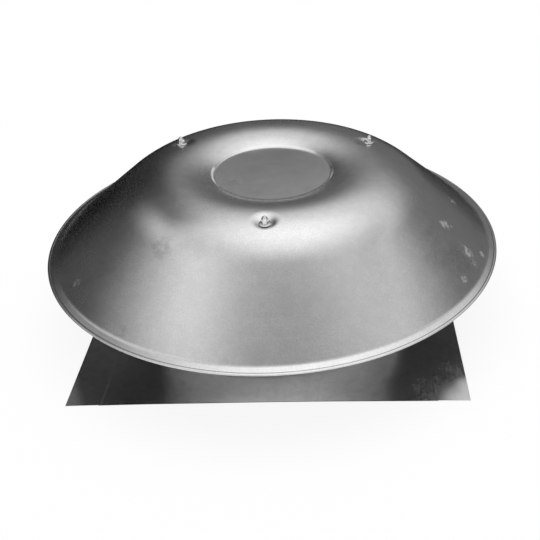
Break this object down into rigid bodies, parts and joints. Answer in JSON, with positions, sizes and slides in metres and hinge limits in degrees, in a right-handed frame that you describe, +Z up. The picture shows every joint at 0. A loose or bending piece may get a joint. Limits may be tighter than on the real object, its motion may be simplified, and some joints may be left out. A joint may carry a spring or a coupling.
{
  "type": "static roof vent",
  "caption": "Round spun hood with a recessed crown, carried on brackets over a screened round throat drawn up from a square roof flashing.",
  "frame": {"origin": "centre of the flashing's underside, on the vent's upright axis, where the vent lies on the roof", "axes": "+Z up, away from the roof; -Y towards the front bracket and cap nut; +X to the right seen from the front"},
  "size_m": [0.6096, 0.6096, 0.2076],
  "materials": {
    "mill_aluminium": "mill finish sheet, spun, semi-bright with faint swirls and scuffs",
    "galvanised_wire": "galvanised welded wire",
    "galvanised_strip": "galvanised strip with soft spangle",
    "rivet_aluminium": "plain bright rivet",
    "zinc_plate": "bright zinc plate",
    "black_rubber": "matt rubber"
  },
  "bodies": {
    "root": {"dome": "mill_aluminium", "base_flashing": "mill_aluminium", "bird_screen": "galvanised_wire", "front_bracket": "galvanised_strip", "front_bracket_rivets": "rivet_aluminium", "front_screen_clip": "galvanised_strip", "front_screw": "zinc_plate", "front_rubber_washer": "black_rubber", "front_metal_washer": "zinc_plate", "front_cap_nut": "zinc_plate", "rear_right_bracket": "galvanised_strip", "rear_right_bracket_rivets": "rivet_aluminium", "rear_right_screen_clip": "galvanised_strip", "rear_right_screw": "zinc_plate", "rear_right_rubber_washer": "black_rubber", "rear_right_metal_washer": "zinc_plate", "rear_right_cap_nut": "zinc_plate", "rear_left_bracket": "galvanised_strip", "rear_left_bracket_rivets": "rivet_aluminium", "rear_left_screen_clip": "galvanised_strip", "rear_left_screw": "zinc_plate", "rear_left_rubber_washer": "black_rubber", "rear_left_metal_washer": "zinc_plate", "rear_left_cap_nut": "zinc_plate"}
  },
  "joints": []
}
